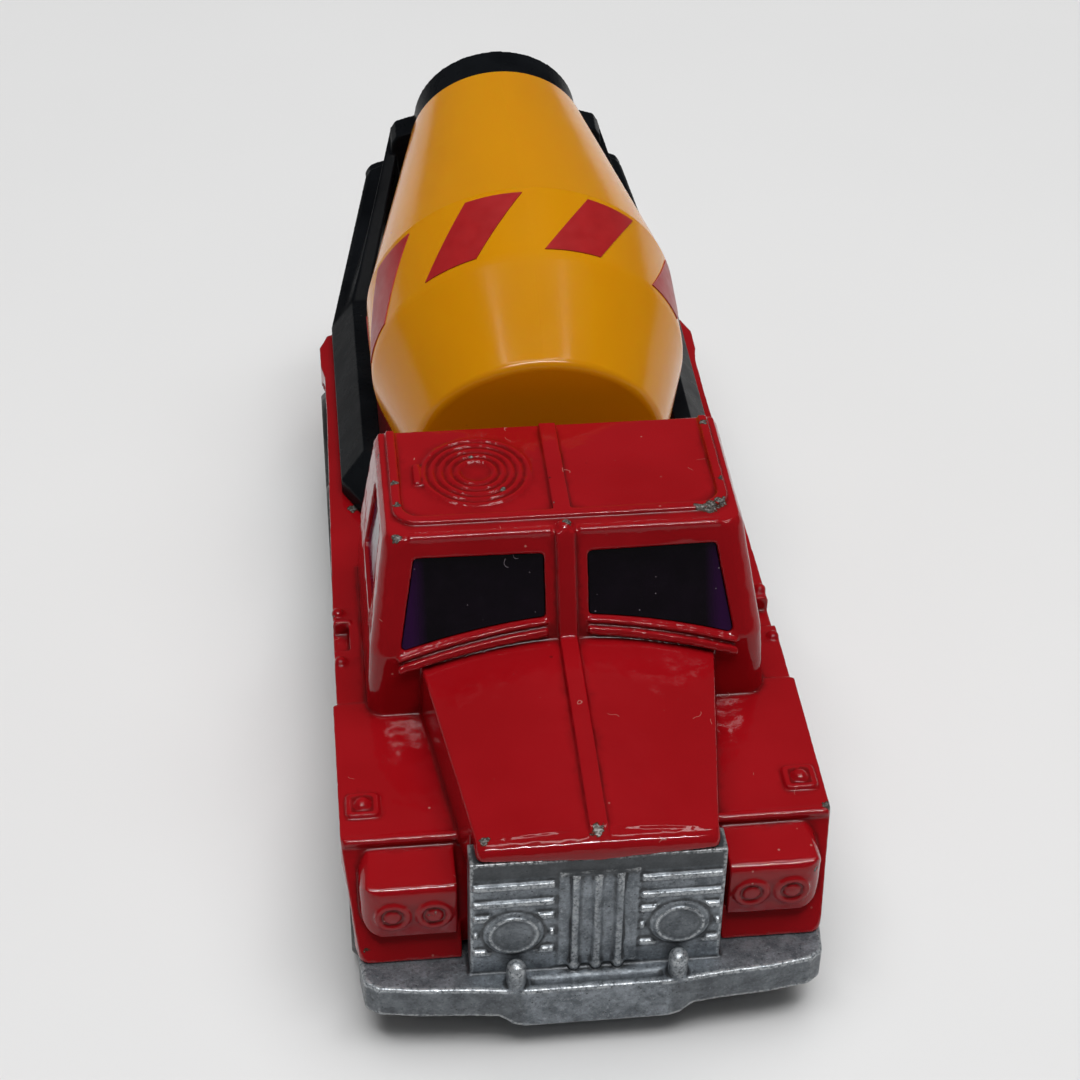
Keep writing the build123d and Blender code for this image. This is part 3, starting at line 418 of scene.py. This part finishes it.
def wheel_plastic():
    """Hard black wheel plastic, scuffed where it rolls, with a silver foil in the dished outer face."""
    s = Surface("wheel_plastic")
    black = s.mix(s.ramp(s.noise(1.2 * MM, 5), 0.4, 0.7), (0.007, 0.007, 0.008), (0.024, 0.023, 0.022))
    edge = s.ramp(s.attribute("convex"), 0.2, 0.6)
    scuff = s.math("MULTIPLY", edge, s.ramp(s.noise(0.5 * MM, 4), 0.5, 0.6))
    black = s.mix(scuff, black, (0.055, 0.052, 0.050))
    rim = s.ramp(s.attribute("convex"), 0.25, 0.6)
    rubbed = s.math("MULTIPLY", rim, s.ramp(s.noise(0.9 * MM, 4), 0.52, 0.58))
    foil = s.math("MULTIPLY", s.ramp(s.attribute("dish"), 0.35, 0.65), s.math("SUBTRACT", 1.0, rubbed))
    silver = s.mix(s.ramp(s.noise(0.8 * MM, 4), 0.35, 0.65), (0.50, 0.50, 0.51), (0.66, 0.66, 0.67))
    s.set(Base_Color=s.mix(foil, black, silver), Metallic=foil)
    worn = s.ramp(s.noise(0.8 * MM, 4), 0.3, 0.7, 0.36, 0.58)
    s.set(Roughness=s.math("SUBTRACT", worn, s.math("MULTIPLY", foil, 0.16)))
    s.bump((s.noise(0.9 * MM, 3), 0.02 * MM), (s.noise(0.15 * MM, 2), 0.006 * MM))
    return s.material


# ---------------------------------------------------------------- the object
# Headlamp lenses in the grille: x, y, z and radius in millimetres
LENSES = [(-5.0, -36.5, 8.65, 1.5), (5.0, -36.5, 8.65, 1.5)]

# Paint chips on the body: x, y, z and radius in millimetres
CHIPS = [
    (-12.8, 0.9, 12.0, 0.6),
    (-10.3, -11.9, 23.9, 0.4),
    (-10.3, -14.1, 23.9, 0.4),
    (-10.5, -17.0, 23.5, 0.4),
    (-11.2, -8.2, 23.4, 0.3),
    (-3.5, -12.8, 23.6, 0.3),
    (-5.2, -9.3, 23.7, 0.22),
    (0.2, -16.8, 24.0, 0.4),
    (8.6, -15.9, 23.9, 0.45),
    (9.4, -15.9, 23.9, 0.65),
    (10.1, -15.4, 23.9, 0.5),
    (10.5, -13.1, 23.9, 0.35),
    (10.3, -7.0, 23.9, 0.4),
    (-0.1, -36.0, 16.4, 0.6),
    (-6.7, -35.6, 15.7, 0.45),
    (14.8, -31.1, 12.1, 0.5),
    (-13.7, -35.0, 6.2, 0.4),
    (13.5, -34.7, 10.4, 0.3),
]

# Voxel size that keeps the finest relief of the two castings
FINE = 0.09 * MM
body = softened("body_casting", "painted_body", "chassis", FINE, 5, 190000, unevenness=0.05 * MM)
mark_spots(body.data, "chip", CHIPS)
dress(body, enamel())

base = softened("base_casting", "zinc_base", "chassis", FINE, 4, 180000)
mark_spots(base.data, "lens", LENSES)
dress(base, zinc())

holder = softened("drum_holder", "moulded_holder", "chassis", 0.10 * MM, 6, 120000)
dress(holder, black_plastic())

wheel_material = wheel_plastic()
for node in sorted(name for name in frame["nodes"] if name.startswith("wheel_")):
    wheel = softened(node, node.replace("wheel", "moulded_wheel"), node, 0.10 * MM, 3, 30000)
    mark_dish(wheel.data, node, 3.3 * MM)
    dress(wheel, wheel_material)

NODE_MATERIALS = {
    "drum_plastic": drum_plastic(),
    "stripe_red": stripe_film(),
    "tinted_window": tinted_window(),
    "axle_wire": steel_wire(),
}
for entry in frame["record"]["subparts"]:
    if entry["material_slot"] in NODE_MATERIALS:
        dress_node(entry["node"], NODE_MATERIALS[entry["material_slot"]])


# ---------------------------------------------------------------- studio
def aimed(thing, place, target):
    """Puts a light or camera at a place and turns it to look at a target."""
    thing.location = place
    thing.rotation_euler = (Vector(target) - Vector(place)).to_track_quat("-Z", "Y").to_euler()


def softbox(name, place, target, size, radiance, lights=True, glints=True):
    """A rectangular light of a given brightness, which lights matt surfaces, makes glints, or both."""
    lamp = bpy.data.lights.new(name, "AREA")
    lamp.shape = "RECTANGLE"
    lamp.size, lamp.size_y = size
    lamp.energy = radiance * math.pi * size[0] * size[1]
    thing = bpy.data.objects.new(name, lamp)
    thing.visible_diffuse = lights
    thing.visible_glossy = glints
    bpy.context.collection.objects.link(thing)
    aimed(thing, place, target)


def pale_floor():
    """A large pale sheet that the toy stands on."""
    reach = 1.5
    mesh = bpy.data.meshes.new("floor")
    corners = [(-reach, -reach, 0), (reach, -reach, 0), (reach, reach, 0), (-reach, reach, 0)]
    mesh.from_pydata(corners, [], [(0, 1, 2, 3)])
    floor = bpy.data.objects.new("floor", mesh)
    bpy.context.collection.objects.link(floor)
    s = Surface("pale_floor")
    s.set(Base_Color=s.mix(s.noise(0.05, 3), (0.70, 0.70, 0.70), (0.74, 0.74, 0.74)), Roughness=0.7)
    dress(floor, s.material)


def camera_from_angles(place, azimuth, elevation, roll, lens):
    """A camera that looks back along a direction given in degrees, turned by roll about its own axis."""
    azimuth, elevation, roll = map(math.radians, (azimuth, elevation, roll))
    back = Vector((
        math.sin(azimuth) * math.cos(elevation),
        -math.cos(azimuth) * math.cos(elevation),
        math.sin(elevation),
    ))
    level = Vector((math.cos(azimuth), math.sin(azimuth), 0))
    upright = back.cross(level)
    right = level * math.cos(roll) + upright * math.sin(roll)
    up = upright * math.cos(roll) - level * math.sin(roll)
    data = bpy.data.cameras.new("camera")
    data.sensor_width = 36
    data.lens = lens
    data.clip_start = 0.01
    data.clip_end = 10
    camera = bpy.data.objects.new("camera", data)
    bpy.context.collection.objects.link(camera)
    turn = Matrix((right, up, back)).transposed().to_4x4()
    camera.matrix_world = Matrix.Translation(Vector(place)) @ turn
    bpy.context.scene.camera = camera


pale_floor()
camera_place = (-14.68 * MM, -129.96 * MM, 114.55 * MM)
camera_from_angles(camera_place, azimuth=-6.63, elevation=38.91, roll=1.0, lens=78.2)

middle = (cad_box[0] + cad_box[1]) / 2
softbox("strip_left", (-0.13, -0.14, 0.56), middle, (0.36, 0.06), 8.0)
softbox("strip_right", (0.13, -0.14, 0.56), middle, (0.36, 0.06), 9.0)
softbox("strip_front", (0.0, -0.40, 0.52), middle, (0.5, 0.02), 120.0, lights=False)
softbox("ceiling", (0.07, 0.05, 0.80), middle, (0.9, 0.9), 2.5, glints=False)

world = bpy.data.worlds.new("studio")
world.use_nodes = True
world.node_tree.nodes["Background"].inputs["Color"].default_value = (1, 1, 1, 1)
world.node_tree.nodes["Background"].inputs["Strength"].default_value = 0.10
bpy.context.scene.world = world
bpy.context.scene.view_settings.view_transform = "Standard"
